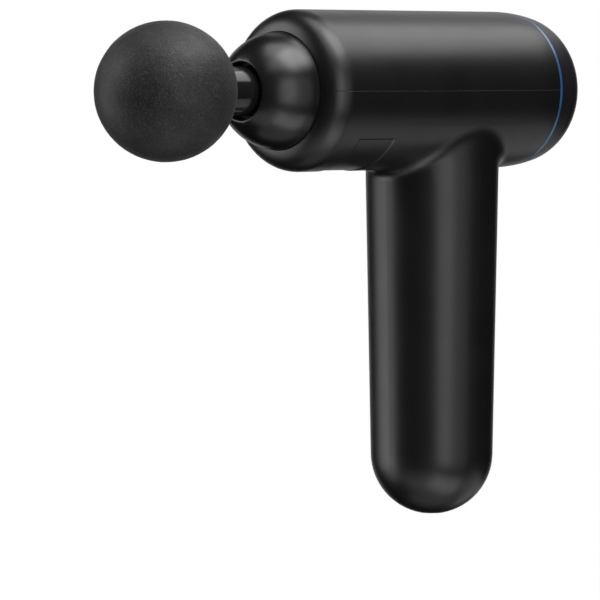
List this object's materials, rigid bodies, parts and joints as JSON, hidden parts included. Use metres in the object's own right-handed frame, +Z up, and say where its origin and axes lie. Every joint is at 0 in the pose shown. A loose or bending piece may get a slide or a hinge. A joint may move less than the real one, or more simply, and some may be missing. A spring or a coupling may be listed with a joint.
{
  "type": "massage gun",
  "caption": "Cordless percussion massage gun: round barrel with a light ring, reciprocating piston, foam ball head, round battery handle and a rear power button.",
  "frame": {"origin": "on the handle's axis, in the middle of the grip, 82 mm below the barrel's axis", "axes": "+Z up along the handle towards the barrel; the massage head points to -X and the rear cap to +X; +Y across"},
  "size_m": [0.2239, 0.059, 0.1879],
  "materials": {
    "shell_black": "satin",
    "nose_black": "satin",
    "socket_black": "gloss",
    "cap_charcoal": "satin",
    "light_guide": "satin",
    "foam_grey": "matte",
    "core_plastic": "matte",
    "soft_rubber": "matte",
    "label_black": "matte",
    "panel_black": "gloss",
    "button_black": "satin",
    "lens_clear": "gloss",
    "cast_aluminium": "satin",
    "turned_steel": "satin",
    "black_steel": "satin",
    "core_laminate": "matte",
    "bronze": "satin",
    "copper_wire": "gloss",
    "magnet": "polished",
    "nickel": "satin",
    "slide_polymer": "satin",
    "circuit_board": "satin",
    "component_black": "matte",
    "cell_wrap": "satin",
    "holder_plastic": "matte",
    "lead_red": "satin",
    "lead_black": "satin",
    "pad_foam": "matte"
  },
  "bodies": {
    "housing": {"upper_shell": "shell_black", "lower_shell": "shell_black", "nose_cover": "nose_black", "label_plate": "label_black", "shell_screws": "black_steel", "light_ring": "light_guide", "rear_cap": "cap_charcoal", "control_panel": "panel_black", "indicator_lenses": "lens_clear", "control_board": "circuit_board", "control_board_screws": "turned_steel", "tact_switch": "component_black", "indicator_leds": "lens_clear", "rear_frame": "holder_plastic", "rear_frame_screws": "black_steel", "light_ring_board": "circuit_board", "ring_leds": "lens_clear", "chassis": "cast_aluminium", "chassis_dampers": "soft_rubber", "chassis_screws": "turned_steel", "guide_sleeve": "slide_polymer", "dust_seal": "soft_rubber", "motor_base": "cast_aluminium", "motor_bearings": "turned_steel", "motor_stator": "core_laminate", "motor_windings": "copper_wire", "motor_screws": "black_steel", "battery_cells": "cell_wrap", "upper_cell_holder": "holder_plastic", "lower_cell_holder": "holder_plastic", "nickel_strips": "nickel", "battery_pads": "pad_foam", "driver_board": "circuit_board", "driver_components": "component_black", "driver_board_screws": "turned_steel", "charge_board": "circuit_board", "charge_board_screws": "turned_steel", "charge_jack": "panel_black", "jack_contact": "nickel", "motor_leads": "lead_black", "battery_leads": "lead_red", "charge_leads": "lead_red", "panel_harness": "lead_black"},
    "rotor": {"rotor_bell": "black_steel", "rotor_magnets": "magnet", "motor_shaft": "turned_steel", "crank": "turned_steel", "crank_set_screw": "black_steel", "crank_retainer": "turned_steel"},
    "con_rod": {"connecting_rod": "cast_aluminium", "big_end_bearing": "turned_steel", "small_end_bush": "bronze", "wrist_pin": "turned_steel"},
    "piston": {"piston": "socket_black"},
    "ball_head": {"ball_core": "core_plastic", "ball_pad": "foam_grey", "stem_seal": "soft_rubber"},
    "power_button": {"power_button": "button_black"}
  },
  "joints": [
    {"name": "motor_spin", "type": "hinge", "parent": "housing", "child": "rotor", "pos_m": [0, 0, 0.082], "axis": [0, 0, 1], "continuous": true},
    {"name": "rod_swing", "type": "hinge", "parent": "rotor", "child": "con_rod", "pos_m": [-0.004, 0, 0.082], "axis": [0, 0, 1], "continuous": true},
    {"name": "piston_stroke", "type": "slide", "parent": "housing", "child": "piston", "axis": [1, 0, 0], "range_m": [0, 0.008]},
    {"name": "head_pull", "type": "slide", "parent": "piston", "child": "ball_head", "axis": [-1, 0, 0], "range_m": [0, 0.016]},
    {"name": "button_press", "type": "slide", "parent": "housing", "child": "power_button", "axis": [-1, 0, 0], "range_m": [0, 0.0005], "stiffness_N_per_m": 3000, "springref_m": -0.0003}
  ],
  "couplings": [
    {"joint": "rod_swing", "follows": "motor_spin", "ratio": -1}
  ]
}
